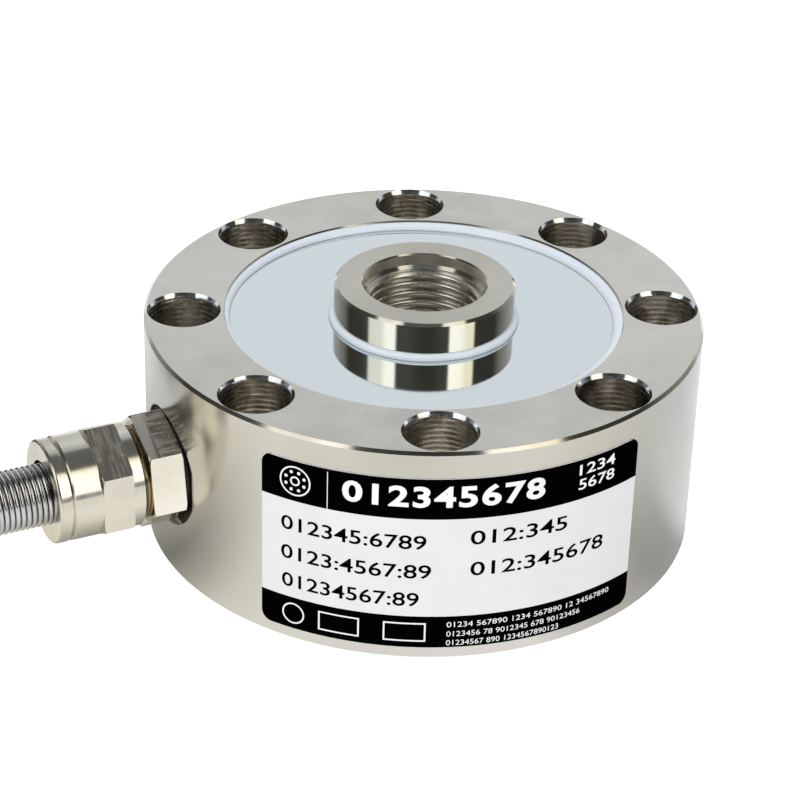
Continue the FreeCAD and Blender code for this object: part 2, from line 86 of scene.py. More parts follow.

# %% [markdown]
# ## The cable
#
# A cable is a curve with a thickness. Listed control points carry it out of the gland and down to
# the table. The rest is put away in a coil, which is too regular to place by hand: a loop walks
# round it and asks, at each step, which seat of the coil the cable lies in. It moves to the next
# seat over a stretch of the turn, and each layer steps over a little earlier than the one below, so
# that no turn runs through another. Blender adds each point's radius to a curve's box, so the
# cable's thickness is given there and the bevel is one metre times that.

# %% Lay the cable's control points
CABLE_DIAMETER = 6.5 * MM
COIL_CENTRE = Vector((-120.5, 92.5, 0)) * MM
COIL_COLUMNS = (45.5 * MM, 39.0 * MM, 32.5 * MM)
COIL_LAYERS = (4.25 * MM, 10.75 * MM, 17.25 * MM, 23.75 * MM)
STEPS_PER_TURN = 24
LAST_TURN = 100.0
STEP_WIDTH = 70.0
STEP_EARLY = 30.0
STEP_ADVANCE = 18.0
SHRINK_COVER = 12.0 * MM

route = [Vector(p) * MM for p in (
    (-76.0, 0.0, 21.3), (-116.0, 0.0, 21.3), (-150.0, 14.0, 12.5), (-166.0, 40.0, 3.25),
    (-166.0, 68.0, 3.25))]

seats = []
for layer, height in enumerate(COIL_LAYERS):
    columns = COIL_COLUMNS if layer % 2 == 0 else COIL_COLUMNS[::-1]
    seats += [(radius, height) for radius in columns]

changes = []
early = STEP_EARLY
for turn in range(1, len(seats)):
    rises = seats[turn][1] != seats[turn - 1][1]
    rose = turn > 1 and seats[turn - 1][1] != seats[turn - 2][1]
    early += STEP_ADVANCE * (rises or rose)
    changes.append(360.0 * turn - early)


def coil_point(angle):
    """Where the cable is, an angle in degrees round the coil from its start."""
    radius, height = seats[0]
    for turn, change in enumerate(changes, 1):
        share = min(max((angle - change) / STEP_WIDTH + 0.5, 0.0), 1.0)
        share = share * share * (3 - 2 * share)
        radius += (seats[turn][0] - seats[turn - 1][0]) * share
        height += (seats[turn][1] - seats[turn - 1][1]) * share
    way = math.radians(180.0 - angle)
    return COIL_CENTRE + Vector((radius * math.cos(way), radius * math.sin(way), height))


coil_end = 360.0 * (len(seats) - 1) + LAST_TURN + math.degrees(SHRINK_COVER / COIL_COLUMNS[0])
step = 360.0 / STEPS_PER_TURN
coil_count = math.ceil(coil_end / step)
coil = [coil_point(coil_end * i / coil_count) for i in range(coil_count + 1)]
print("cable control points:", len(route), "by hand and", len(coil), "in the coil")

# %% Draw the cable
cable_curve = bpy.data.curves.new("cable_sheath", "CURVE")
cable_curve.dimensions = "3D"
cable_curve.bevel_depth = 1.0
cable_curve.bevel_resolution = 5
cable_curve.resolution_u = 6
cable_curve.use_fill_caps = True
spline = cable_curve.splines.new("NURBS")
points = route + coil
spline.points.add(len(points) - 1)
for point, place in zip(spline.points, points):
    point.co = (*place, 1.0)
    point.radius = CABLE_DIAMETER / 2
spline.order_u = 3
spline.use_endpoint_u = True
cable_line = bpy.data.objects.new("signal_cable", cable_curve)
bpy.context.scene.collection.objects.link(cable_line)
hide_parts("cable", "cable_coil")
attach(cable_line, "root")
cable_length = sum((b - a).length for a, b in zip(points, points[1:]))
print("cable along its control points:", round(cable_length, 3), "m")

# %% [markdown]
# ## The spring sleeve
#
# Where a cable leaves a machine it wants to kink. A sleeve of close-wound wire stops that: each
# turn touches the next, so it bends in a wide curve only. To wind it, one circle of wire is
# spun once round the gland's axis, and each step also moves a little along it. That single turn
# is then copied along the axis and the copies are welded, which is far quicker than spinning on.

# %% Wind the wire
GLAND_AXIS = Vector((-1, 0, 0))
GLAND_HEIGHT = 21.3 * MM
SLEEVE_SAG = 0.4 * MM
GLAND_CENTRE = Vector((0, 0, GLAND_HEIGHT - SLEEVE_SAG))
WIRE_RADIUS = 0.47 * MM
WIRE_RING = 5.28 * MM
WIRE_PITCH = 1.03 * MM
WIRE_TURN_STEPS = 40
WIRE_SECTION_STEPS = 10
FLANGE_END = 71.15 * MM
FLANGE_WIRE = 0.45 * MM
FLANGE_STEP = 0.6 * MM
WELD = 0.001 * MM


def new_piece(name, bm, replaced=(), smooth=True):
    """Turn a bmesh into a piece that rides with the part."""
    mesh = bpy.data.meshes.new(name)
    bmesh.ops.recalc_face_normals(bm, faces=bm.faces)
    bm.to_mesh(mesh)
    bm.free()
    if smooth:
        mesh.shade_smooth()
    else:
        mesh.shade_flat()
    piece = bpy.data.objects.new(name, mesh)
    bpy.context.scene.collection.objects.link(piece)
    if replaced:
        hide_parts(*replaced)
    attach(piece, "root")
    print(name, "faces:", len(mesh.polygons))
    return piece


def wind(bm, profile, centre, axis, pitch, turns, steps):
    """Spin closed profile edges into one turn of a spiral, then stack copies of that turn."""
    bmesh.ops.spin(bm, geom=profile, cent=centre, axis=axis, dvec=axis * pitch / steps,
                   angle=2 * math.pi, steps=steps, use_merge=False)
    one_turn = bm.verts[:] + bm.edges[:] + bm.faces[:]
    for turn in range(1, turns):
        copied = bmesh.ops.duplicate(bm, geom=one_turn)["geom"]
        bmesh.ops.translate(bm, vec=axis * pitch * turn,
                            verts=[v for v in copied if isinstance(v, bmesh.types.BMVert)])
    bmesh.ops.remove_doubles(bm, verts=bm.verts, dist=WELD)
    bmesh.ops.holes_fill(bm, edges=[e for e in bm.edges if e.is_boundary])


def wire_section(bm, radius, ring_radius, along):
    """A circle of wire beside the gland's axis, ready to be spun round it."""
    place = Matrix.Translation(GLAND_CENTRE + GLAND_AXIS * along + Vector((0, 0, ring_radius)))
    bmesh.ops.create_circle(bm, segments=WIRE_SECTION_STEPS, radius=radius,
                            matrix=place @ Matrix.Rotation(math.radians(90), 4, "X"))
    return bm.edges[:]


sleeve_end = -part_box("spring_sleeve")[0].x
sleeve_start = -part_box("spring_sleeve")[1].x
turns = round((sleeve_end - FLANGE_END) / WIRE_PITCH) - 1

bm = bmesh.new()
flange = wire_section(bm, FLANGE_WIRE, WIRE_RING + FLANGE_STEP, sleeve_start + FLANGE_WIRE)
bmesh.ops.spin(bm, geom=flange, cent=GLAND_CENTRE, axis=GLAND_AXIS, angle=2 * math.pi,
               steps=WIRE_TURN_STEPS, use_merge=True)
flange_mesh = bpy.data.meshes.new("flange")
bm.to_mesh(flange_mesh)
bm.clear()
section = wire_section(bm, WIRE_RADIUS, WIRE_RING, sleeve_end - WIRE_RADIUS - turns * WIRE_PITCH)
wind(bm, section, GLAND_CENTRE, GLAND_AXIS, WIRE_PITCH, turns, WIRE_TURN_STEPS)
bm.from_mesh(flange_mesh)
bpy.data.meshes.remove(flange_mesh)
spring_wire = new_piece("wound_wire_sleeve", bm, ["spring_sleeve"])

# %% [markdown]
# ## The thread ridge
#
# A tapped hole is a plain hole with a spiral groove. The solid has the hole at the groove's
# depth, so here the ridge between the grooves is added: a trapezium with a rounded top is wound
# down the hole. A countersink cuts the ridge away at a slant near each mouth, which is done by
# pushing every vertex outwards that lies above the cone.

# %% Cut the thread
THREAD_ROOT = 11.0 * MM
THREAD_PITCH = 2.0 * MM
THREAD_CREST = 10.1 * MM
THREAD_STEPS = 96
THREAD_SPAN = (1.4 * MM, 45.8 * MM)
ROOT_HALF = THREAD_PITCH * 0.4375
CREST_HALF = THREAD_PITCH * 0.125
CREST_ROUNDING = ((0.16, 1.45), (0.03, 0.9), (0.0, 0.3))
CONE_DEPTH = 0.9 * MM
BURIED = 0.04 * MM


def thread_profile():
    """The ridge's outline as radii and heights. Its crest is rounded by shares of its size."""
    depth = THREAD_ROOT - THREAD_CREST
    side = [(THREAD_ROOT + BURIED, ROOT_HALF)]
    side += [(THREAD_CREST + depth * share, CREST_HALF * width) for share, width in CREST_ROUNDING]
    return [(r, -z) for r, z in side] + [(r, z) for r, z in reversed(side)]


bm = bmesh.new()
low, high = THREAD_SPAN
turns_needed = math.ceil((high - low + 2 * CONE_DEPTH) / THREAD_PITCH)
profile = [bm.verts.new((r, 0, low - CONE_DEPTH + z)) for r, z in thread_profile()]
edges = [bm.edges.new((a, b)) for a, b in zip(profile, profile[1:] + profile[:1])]
wind(bm, edges, Vector(), Vector((0, 0, 1)), THREAD_PITCH, turns_needed, THREAD_STEPS)
for vert in bm.verts:
    vert.co.z = min(max(vert.co.z, low - CONE_DEPTH), high + CONE_DEPTH)
    away = Vector((vert.co.x, vert.co.y, 0))
    cone = THREAD_ROOT + BURIED - min(high - vert.co.z, vert.co.z - low)
    if away.length < cone:
        vert.co += away.normalized() * (cone - away.length)
centre_thread = new_piece("centre_thread_ridge", bm)

# %% [markdown]
# ## The silicone beads
#
# Silicone is laid by hand. It follows the wall, but its free edge wanders and isn't quite in the
# middle. A cross-section is spun round the part, and then every vertex moves sideways by its
# share of the bead's width: nothing at the wall, and most at the free edge.

# %% Lay the silicone
BEAD_FOOT = 41.48 * MM
BEAD_HEAD = 42.65 * MM
BEAD_BURIED = 0.05 * MM
BEAD_STEPS = 180
BEAD_CURVE = 8
HAND_WAVES = ((5, 1.0, 1), (11, 0.7, 0), (29, 0.4, 2))


def hand_wave(way):
    """How a hand wanders on its way round, from waves with a count, a size and a start."""
    return sum(size * math.sin(count * way + start) for count, size, start in HAND_WAVES)


def lay_bead(name, wall, width, bulge, offset, wander, replaced):
    """A bead between a wall and a cover. A negative width lies inside the wall."""
    head, foot = Vector((wall, 0, BEAD_HEAD)), Vector((wall + width, 0, BEAD_FOOT))
    buried = math.copysign(BEAD_BURIED, -width)
    outward = ((head + foot) * 0.5 - Vector((wall, 0, BEAD_FOOT))).normalized() * bulge
    section = [head.lerp(foot, i / BEAD_CURVE) + outward * math.sin(math.pi * i / BEAD_CURVE)
               for i in range(BEAD_CURVE + 1)]
    section += [Vector((wall + buried, 0, BEAD_FOOT)), Vector((wall + buried, 0, BEAD_HEAD))]
    bm = bmesh.new()
    verts = [bm.verts.new(point) for point in section]
    edges = [bm.edges.new(pair) for pair in zip(verts, verts[1:] + verts[:1])]
    bmesh.ops.spin(bm, geom=edges, axis=(0, 0, 1), angle=2 * math.pi, steps=BEAD_STEPS,
                   use_merge=True)
    for vert in bm.verts:
        flat = Vector((vert.co.x, vert.co.y, 0))
        share = min(max((flat.length - wall) / width, 0.0), 1.0)
        wave = hand_wave(math.atan2(flat.y, flat.x))
        vert.co += (offset + flat.normalized() * wave * wander) * share
    return new_piece(name, bm, [replaced])


outer_bead = lay_bead("outer_silicone", wall=37.4 * MM, width=-1.45 * MM, bulge=0.28 * MM,
                      offset=Vector((-0.36, 0.17, 0)) * MM, wander=0.035 * MM,
                      replaced="top_outer_seal")
inner_bead = lay_bead("inner_silicone", wall=17.0 * MM, width=0.95 * MM, bulge=0.33 * MM,
                      offset=Vector(), wander=0.03 * MM, replaced="top_inner_seal")

# %% [markdown]
# ## The print on the label
#
# The label's film is a measured solid. Its print is laid out flat, in millimetres from the
# film's top left corner, as a designer would, and is then rolled onto the rim. This one is plain:
# rows of digits, a small drawing of the bolt circle, and outlines. A flat face can't follow a
# round wall, so the layout is first cut into narrow strips. Once rolled, the faces' directions
# are worked out anew, because the thickness is added along them.

# %% Set up the print
RIM_RADIUS = 52.5 * MM
LABEL_RADIUS = 52.65 * MM
LABEL_WIDTH = 72.3
LABEL_MIDDLE = math.radians(250.95)
LABEL_LEFT = LABEL_MIDDLE - LABEL_WIDTH / 2 * MM / RIM_RADIUS
LABEL_TOP = 37.9 * MM
INK_LIFT = 0.012 * MM
INK_THICKNESS = 0.02 * MM
STRIP = 1.1
DIGIT_SHARE = 0.72
print("label from", round(math.degrees(LABEL_LEFT), 1), "degrees, top at", LABEL_TOP, "m")


def cut(bm, place, across):
    """Cut a flat print along a line, and keep both sides."""
    bmesh.ops.bisect_plane(bm, geom=bm.verts[:] + bm.edges[:] + bm.faces[:], plane_co=place,
                           plane_no=across)


def block(bm, left, right, top, bottom, corner=0.0):
    """A rectangle of ink, in millimetres from the label's top left corner."""
    verts = [bm.verts.new(p) for p in ((left, -bottom, 0), (right, -bottom, 0),
                                       (right, -top, 0), (left, -top, 0))]
    bm.faces.new(verts)
    if corner:
        bmesh.ops.bevel(bm, geom=verts, offset=corner, segments=6, profile=0.5,
                        affect="VERTICES", material=-1)


def hoop(bm, x, y, outer, inner, segments=40):
    """A ring of ink."""
    rings = [bmesh.ops.create_circle(bm, segments=segments, radius=r,
                                     matrix=Matrix.Translation((x, -y, 0)))["verts"]
             for r in (outer, inner)]
    edges = list({e for ring in rings for v in ring for e in v.link_edges})
    bmesh.ops.bridge_loops(bm, edges=edges)


def dot(bm, x, y, radius):
    """A disc of ink."""
    bmesh.ops.create_circle(bm, cap_ends=True, segments=16, radius=radius,
                            matrix=Matrix.Translation((x, -y, 0)))


def outline(bm, left, top, width, height, line):
    """A rectangle of four lines of ink."""
    right, bottom = left + width, top + height
    block(bm, left, right, top, top + line)
    block(bm, left, right, bottom - line, bottom)
    block(bm, left, left + line, top + line, bottom - line)
    block(bm, right - line, right, top + line, bottom - line)


def numerals(bm, text, left, right, base, height, weight=0.0, spacing=1.0):
    """Plain digits on a line, stretched to reach from left to right."""
    curve = bpy.data.curves.new("numerals", "FONT")
    curve.body = text
    curve.size = height / DIGIT_SHARE
    curve.offset = weight
    curve.space_character = spacing
    curve.resolution_u = 4
    shape = bpy.data.objects.new("numerals", curve)
    bpy.context.scene.collection.objects.link(shape)
    mesh = bpy.data.meshes.new_from_object(shape)
    reach = [v.co.x for v in mesh.vertices]
    stretch = (right - left) / (max(reach) - min(reach))
    mesh.transform(Matrix.Translation((left - min(reach) * stretch, -base, 0))
                   @ Matrix.Diagonal((stretch, 1, 1, 1)))
    bm.from_mesh(mesh)
    bpy.data.objects.remove(shape)
    bpy.data.curves.remove(curve)
    bpy.data.meshes.remove(mesh)


def roll_onto_rim(name, bm, lift):
    """Cut the flat print into strips, roll it onto the label, and give it a thickness."""
    for i in range(1, math.ceil(LABEL_WIDTH / STRIP)):
        cut(bm, (i * STRIP, 0, 0), (1, 0, 0))
    bm.normal_update()
    bmesh.ops.reverse_faces(bm, faces=[f for f in bm.faces if f.normal.z < 0])
    radius = LABEL_RADIUS + lift
    for vert in bm.verts:
        way = LABEL_LEFT + vert.co.x * MM / RIM_RADIUS
        vert.co = (radius * math.cos(way), radius * math.sin(way), LABEL_TOP + vert.co.y * MM)
    bm.normal_update()
    bmesh.ops.solidify(bm, geom=bm.faces[:], thickness=INK_THICKNESS)
    return new_piece(name, bm, smooth=False)


# %% Lay out the black print
INK_EDGE = 0.05
HEADER = 8.2
FOOTER = (28.6, 35.3)
LABEL_CORNER = 2.0
OVERRUN = 3.0
ROW_HEIGHT = 2.9
ROWS = (("012345:6789", 4.1, 30.6, 14.4), ("0123:4567:89", 4.1, 31.6, 20.5),
        ("01234567:89", 4.3, 29.6, 26.4), ("012:345", 38.3, 56.5, 13.6),
        ("012:345678", 38.5, 64.8, 20.1))

# Both bars are laid with four round corners and too far inwards, and then cut straight.
bm = bmesh.new()
block(bm, INK_EDGE, LABEL_WIDTH - INK_EDGE, INK_EDGE, HEADER + OVERRUN, LABEL_CORNER)
block(bm, INK_EDGE, LABEL_WIDTH - INK_EDGE, FOOTER[0] - OVERRUN, FOOTER[1] - INK_EDGE,
      LABEL_CORNER)
cut(bm, (0, -HEADER, 0), (0, -1, 0))
cut(bm, (0, -FOOTER[0], 0), (0, 1, 0))
extra = [f for f in bm.faces if HEADER < -f.calc_center_median().y < FOOTER[0]]
bmesh.ops.delete(bm, geom=extra, context="FACES")
for text, left, right, base in ROWS:
    numerals(bm, text, left, right, base, ROW_HEIGHT, weight=0.04)
black_print = roll_onto_rim("label_black_print", bm, INK_LIFT)

# %% Lay out the white print
DIVIDER = (12.85, 13.0, 0.6)
EMBLEM = (6.8, 4.1)
EMBLEM_HOOPS = ((3.0, 2.7), (0.95, 0.65))
EMBLEM_CIRCLE, EMBLEM_HOLE = 1.9, 0.32
BOLT_COUNT = 8
STAMP = (6.6, 32.0)
STAMP_HOOP = (2.2, 1.9)
FRAMES = (11.5, 23.4)
FINE_LEFT = 34.7
FINE_HEIGHT = 1.15
FINE_ROWS = (("01234 567890 1234 567890 12 34567890", 67.2, 30.9),
             ("0123456 78 9012345 678 90123456", 60.5, 32.9),
             ("01234567 890 1234567890123", 56.0, 34.8))

bm = bmesh.new()
block(bm, *DIVIDER, HEADER)
for outer, inner in EMBLEM_HOOPS:
    hoop(bm, *EMBLEM, outer, inner)
for i in range(BOLT_COUNT):
    way = 2 * math.pi * (i + 0.5) / BOLT_COUNT
    dot(bm, EMBLEM[0] + EMBLEM_CIRCLE * math.cos(way), EMBLEM[1] + EMBLEM_CIRCLE * math.sin(way),
        EMBLEM_HOLE)
numerals(bm, "012345678", 15.6, 51.6, base=5.6, height=4.1, weight=0.17, spacing=1.12)
numerals(bm, "1234", 58.4, 66.4, base=3.2, height=2.2, weight=0.03)
numerals(bm, "5678", 58.4, 66.4, base=6.2, height=2.2, weight=0.03)
for text, right, base in FINE_ROWS:
    numerals(bm, text, FINE_LEFT, right, base, FINE_HEIGHT)
hoop(bm, *STAMP, *STAMP_HOOP)
for left in FRAMES:
    outline(bm, left, top=30.0, width=7.6, height=4.0, line=0.3)
white_print = roll_onto_rim("label_white_print", bm, INK_LIFT + INK_THICKNESS)

# %% [markdown]
# ## A small kit for finishes
#
# Every finish starts from one Principled shader. A constant goes straight onto the shader's own
# socket. What varies over the surface is worked out from the place on the object, in metres, so
# the grain keeps its size and stays where it is when the view changes.

# %% The finish kit
NOISE_ROUGHNESS = 0.55


class Finish:
    """A material in the making: its node tree, its shader and the place on the object."""

    def __init__(self, name, color, roughness, metallic=0.0, **constants):
        self.material = bpy.data.materials.new(name)
        self.material.use_nodes = True
        self.material.diffuse_color = (*color, 1.0)
        self.tree = self.material.node_tree
        self.shader = self.tree.nodes["Principled BSDF"]
        self.place = self.node("ShaderNodeTexCoord").outputs["Object"]
        for socket, value in {"Base Color": (*color, 1.0), "Roughness": roughness,
                              "Metallic": metallic, **constants}.items():
            self.shader.inputs[socket].default_value = value

    def node(self, kind, **inputs):
        """Add a node. A value that is an output of another node is linked, others are set."""
        made = self.tree.nodes.new(kind)
        for name, value in inputs.items():
            self.feed(made.inputs[name.replace("_", " ")], value)
        return made

    def feed(self, socket, value):
        """Link a socket to another node's output, or set its value."""
        if isinstance(value, bpy.types.NodeSocket):
            self.tree.links.new(value, socket)
        else:
            socket.default_value = value

    def mapped(self, scale=(1, 1, 1), turn=(0, 0, 0)):
        """The place on the object, stretched or turned."""
        return self.node("ShaderNodeMapping", Vector=self.place, Scale=scale,
                         Rotation=turn).outputs["Vector"]

    def noise(self, scale, detail=3.0, vector=None):
        """A cloudy pattern from 0 to 1. A larger scale makes it finer."""
        return self.node("ShaderNodeTexNoise", Vector=vector or self.place, Scale=scale,
                         Detail=detail, Roughness=NOISE_ROUGHNESS).outputs["Fac"]

    def math(self, operation, *values):
        """One step of arithmetic."""
        made = self.tree.nodes.new("ShaderNodeMath")
        made.operation = operation
        for socket, value in zip(made.inputs, values):
            self.feed(socket, value)
        return made.outputs["Value"]

    def both(self, first, second):
        """One where two masks are both one."""
        return self.math("MULTIPLY", first, second)

    def between(self, value, low, high, to_low=0.0, to_high=1.0):
        """A smooth step from one value to another, over a range."""
        made = self.tree.nodes.new("ShaderNodeMapRange")
        made.interpolation_type = "SMOOTHSTEP"
        for socket, given in zip(made.inputs, (value, low, high, to_low, to_high)):
            self.feed(socket, given)
        return made.outputs["Result"]

    def blend(self, share, first, second):
        """Two numbers, blended."""
        return self.node("ShaderNodeMix", Factor=share, A=first, B=second).outputs["Result"]

    def mix(self, share, first, second):
        """Two colours, blended."""
        made = self.tree.nodes.new("ShaderNodeMix")
        made.data_type = "RGBA"
        self.feed(made.inputs["Factor"], share)
        for socket, value in ((made.inputs[6], first), (made.inputs[7], second)):
            self.feed(socket, value if isinstance(value, bpy.types.NodeSocket) else (*value, 1.0))
        return made.outputs[2]

    def around_ramp(self, bearing, stops):
        """A colour that changes with a bearing from 0 to 1. The stops are in degrees, in order."""
        made = self.node("ShaderNodeValToRGB", Fac=bearing)
        elements = made.color_ramp.elements
        while len(elements) < len(stops):
            elements.new(1.0)
        for element, (angle, _) in zip(elements, stops):
            element.position = (angle + 180) / 360
        for element, (_, tone) in zip(elements, stops):
            element.color = (*tone, 1.0)
        return made.outputs["Color"]

    def bearing(self, x, y):
        """The way to a point, as a share of a full turn. It is 0.5 towards the camera."""
        return self.math("ADD", 0.5, self.math("DIVIDE", self.math("ARCTAN2", y, x), 2 * math.pi))

    def parts(self, vector=None):
        """The three parts of a vector, or of the place on the object."""
        return self.node("ShaderNodeSeparateXYZ", Vector=vector or self.place).outputs

    def facing(self):
        """The three parts of the way that a face looks."""
        return self.parts(self.node("ShaderNodeNewGeometry").outputs["True Normal"])

    def length(self, x, y):
        """How far a point is from an axis, from its two distances."""
        return self.math("SQRT", self.math("ADD", self.math("MULTIPLY", x, x),
                                           self.math("MULTIPLY", y, y)))

    def grooved(self, amount, around):
        """Stretch reflections across the grooves that a lathe leaves along a direction."""
        normal = self.node("ShaderNodeNewGeometry").outputs["Normal"]
        across = self.tree.nodes.new("ShaderNodeVectorMath")
        across.operation = "CROSS_PRODUCT"
        self.feed(across.inputs[0], around)
        self.feed(across.inputs[1], normal)
        self.feed(self.shader.inputs["Tangent"], across.outputs["Vector"])
        self.feed(self.shader.inputs["Anisotropic"], amount)

    def color(self, value):
        self.feed(self.shader.inputs["Base Color"], value)

    def rough(self, value):
        self.feed(self.shader.inputs["Roughness"], value)

    def bump(self, height, distance, strength):
        """Make light fall as if the surface rose and sank by up to a distance."""
        made = self.node("ShaderNodeBump", Height=height, Distance=distance, Strength=strength)
        self.feed(self.shader.inputs["Normal"], made.outputs["Normal"])
        return self


# %% [markdown]
# ## Nickel on steel
#
# The body is turned on a lathe and nickel plated. A lathe leaves rings too fine to see one by
# one, which smear every reflection across them, so the reflections get a direction: along the
# radius on the flat top, and up and down on the side. The slope of a face tells a bevel from a
# top or a side, and the distance from the axis tells the polished hub from the rim.

# %% Tell the body's places apart
NICKEL = (0.66, 0.645, 0.60)
FLAT_SLOPE, UPRIGHT_SLOPE = 0.9, 0.4
HUB_REACH = 17.1 * MM
BORE_REACH = 12.4 * MM
BOLT_CIRCLE = 45.0 * MM
BOLT_REACH = 6.6 * MM
MOUTH_REACH = 7.0 * MM
SPOT_FACE = -51.3 * MM
SPOT_RADIUS = 11.5 * MM
SQUARE_ON = 0.9999
SEAL_REACH = 9.9 * MM

body = Finish("nickel_steel", NICKEL, 0.25, metallic=1.0)
x, y, z = body.parts()
from_axis = body.length(x, y)
face_x, _, face_z = body.facing()
slope = body.math("ABSOLUTE", face_z)
flat = body.math("GREATER_THAN", slope, FLAT_SLOPE)
upright = body.math("LESS_THAN", slope, UPRIGHT_SLOPE)
bevel = body.both(body.math("GREATER_THAN", slope, UPRIGHT_SLOPE), body.math("SUBTRACT", 1.0, flat))
on_hub = body.math("LESS_THAN", from_axis, HUB_REACH)
in_bore = body.both(upright, body.math("LESS_THAN", from_axis, BORE_REACH))

# Folding the turn into one sector puts all the bolt holes in the same place.
sector = 2 * math.pi / BOLT_COUNT
fold = body.math("SUBTRACT", body.math("FLOORED_MODULO", body.math("ARCTAN2", y, x), sector),
                 sector / 2)
hole_x = body.math("SUBTRACT", body.math("MULTIPLY", from_axis, body.math("COSINE", fold)),
                   BOLT_CIRCLE)
hole_y = body.math("MULTIPLY", from_axis, body.math("SINE", fold))
from_hole = body.length(hole_x, hole_y)
in_hole = body.math("LESS_THAN", from_hole, BOLT_REACH)
at_mouth = body.both(bevel, body.math("LESS_THAN", from_hole, MOUTH_REACH))

above_gland = body.math("ABSOLUTE", body.math("SUBTRACT", z, GLAND_HEIGHT))
at_gland = body.both(body.math("LESS_THAN", x, SPOT_FACE),
                     body.math("LESS_THAN", body.length(y, above_gland), SPOT_RADIUS))
# Painted shade goes on the spot face that looks square on to the gland, round the seal.
painted_shade_behind_seal = body.both(body.both(at_gland, body.math("LESS_THAN", face_x, -SQUARE_ON)),
                        body.math("LESS_THAN", above_gland, SEAL_REACH))
print("places on the body told apart by", len(body.tree.nodes), "nodes")

# %% Finish the body
NICKEL_WARM = (0.62, 0.595, 0.53)
# Painted light: the flat tops get a lighter copy of the nickel than the sides.
TOP = (0.70, 0.69, 0.64)
TOP_WARM = (0.675, 0.66, 0.60)
HUB_TOP = (0.585, 0.565, 0.50)
# Painted light: the bore's wall gets a much lighter tone than the rest of the nickel, so the deep
# hole reads bright.
BORE = (0.84, 0.82, 0.77)
# Painted highlight colour: a cool tint on the bolt holes' mouth bevels makes their glints bluish
# white instead of warm.
MOUTH_GLINT_TINT = (0.66, 0.70, 0.76)
# Painted reflections: bright and dim patches on the bolt holes' walls, taller than they are wide.
HOLE_PAINTED_BRIGHT = (0.95, 0.92, 0.86)
HOLE_PAINTED_DIM = (0.52, 0.49, 0.43)
# Painted shade: the spot face round the gland's seal is near black.
SEAL_PAINTED_SHADE = (0.05, 0.045, 0.035)
PAINTED_REFLECTION_SCALE = (230, 230, 110)
TOP_SATIN = (0.27, 0.33)
SIDE_SATIN = (0.2, 0.25)
HUB_GLOSS = (0.05, 0.08)
HOLE_SATIN = (0.2, 0.34)
BORE_ROUGH, BEVEL_ROUGH, SPOT_ROUGH = 0.3, 0.1, 0.6
SIDE_GROOVES, TOP_GROOVES = 0.45, 0.8

smears = body.noise(160.0, detail=4.0)


def smeared(low, high):
    """A roughness that drifts between two values, as wiped metal does."""
    return body.between(smears, 0.3, 0.7, low, high)


side = body.blend(on_hub, smeared(*SIDE_SATIN), smeared(*HUB_GLOSS))
side = body.blend(in_hole, body.blend(in_bore, side, BORE_ROUGH), smeared(*HOLE_SATIN))
metal = body.blend(bevel, body.blend(flat, side, smeared(*TOP_SATIN)), BEVEL_ROUGH)
body.rough(body.blend(at_gland, metal, SPOT_ROUGH))

# Warmer patches at random over the nickel: partly a drift in the plating's tint, partly painted
# reflection of the warm fan-shaped patches that a turned face shows.
warm_tint_drift = body.between(body.noise(24.0, detail=2.0), 0.42, 0.68)
# Painted reflections: bright and dim patches on the bolt holes' walls.
painted_hole_reflections = body.between(body.noise(1.0, detail=1.0, vector=body.mapped(scale=PAINTED_REFLECTION_SCALE)),
                       0.42, 0.6)
tint = body.mix(flat, body.mix(warm_tint_drift, NICKEL, NICKEL_WARM), body.mix(warm_tint_drift, TOP, TOP_WARM))
# Tones laid over the nickel: the hub's top, painted light in the bore, painted reflections in the
# bolt holes, a painted glint tint at their mouths and painted shade behind the seal.
for place, tone in ((body.both(on_hub, flat), HUB_TOP), (in_bore, BORE),
                    (in_hole, body.mix(painted_hole_reflections, HOLE_PAINTED_DIM, HOLE_PAINTED_BRIGHT)),
                    (at_mouth, MOUTH_GLINT_TINT), (painted_shade_behind_seal, SEAL_PAINTED_SHADE)):
    tint = body.mix(place, tint, tone)
body.color(tint)

around = body.node("ShaderNodeCombineXYZ", X=body.math("MULTIPLY", y, -1.0), Y=x, Z=0.0)
body.grooved(body.blend(bevel, body.blend(flat, SIDE_GROOVES, TOP_GROOVES), 0.0),
             around.outputs["Vector"])
print("body finish:", len(body.tree.nodes), "nodes")

# %% [markdown]
# A drill leaves a shallow spiral in a bolt hole. Its height follows the turn about the hole's
# own axis and the depth, and it fades in and out as the chips scraped by.

# %% Mark the bolt holes
FEED_PITCH = 1.05 * MM
FEED_DEPTH = 0.07 * MM
CHIP_SCALE = (330, 330, 900)
CHIP_HEIGHT = 1.6
CHIP_FADE = (1.5, -0.2)

turn = body.math("DIVIDE", body.math("ARCTAN2", hole_y, hole_x), 2 * math.pi)
phase = body.math("ADD", body.math("DIVIDE", z, FEED_PITCH), turn)
wave = body.math("SINE", body.math("MULTIPLY", phase, 2 * math.pi))
chips = body.noise(1.0, detail=3.0, vector=body.mapped(scale=CHIP_SCALE))
spiral = body.math("ADD", wave, body.math("MULTIPLY", chips, CHIP_HEIGHT))
fade = body.math("ADD", body.math("MULTIPLY", chips, CHIP_FADE[0]), CHIP_FADE[1])
marks = body.math("MULTIPLY", spiral, fade)
body.bump(body.math("MULTIPLY", in_hole, marks), FEED_DEPTH, 0.7)
print("drill marks:", FEED_DEPTH, "m deep, one turn each", FEED_PITCH, "m")

# %% [markdown]
# The thread's flanks get a lighter tone than the body's nickel, which is painted light that
# brightens the bore. A tap tears them a little on its way round, so their noise is squeezed along
# the hole's axis.

# %% Finish the thread
# Painted light: both flank tones are lighter than the body's nickel, so the thread reads bright in
# the bore.
FLANK_LIGHT = (0.88, 0.86, 0.82)
FLANK_DARK = (0.70, 0.68, 0.62)
FLANK_MARKS = (150, 150, 900)

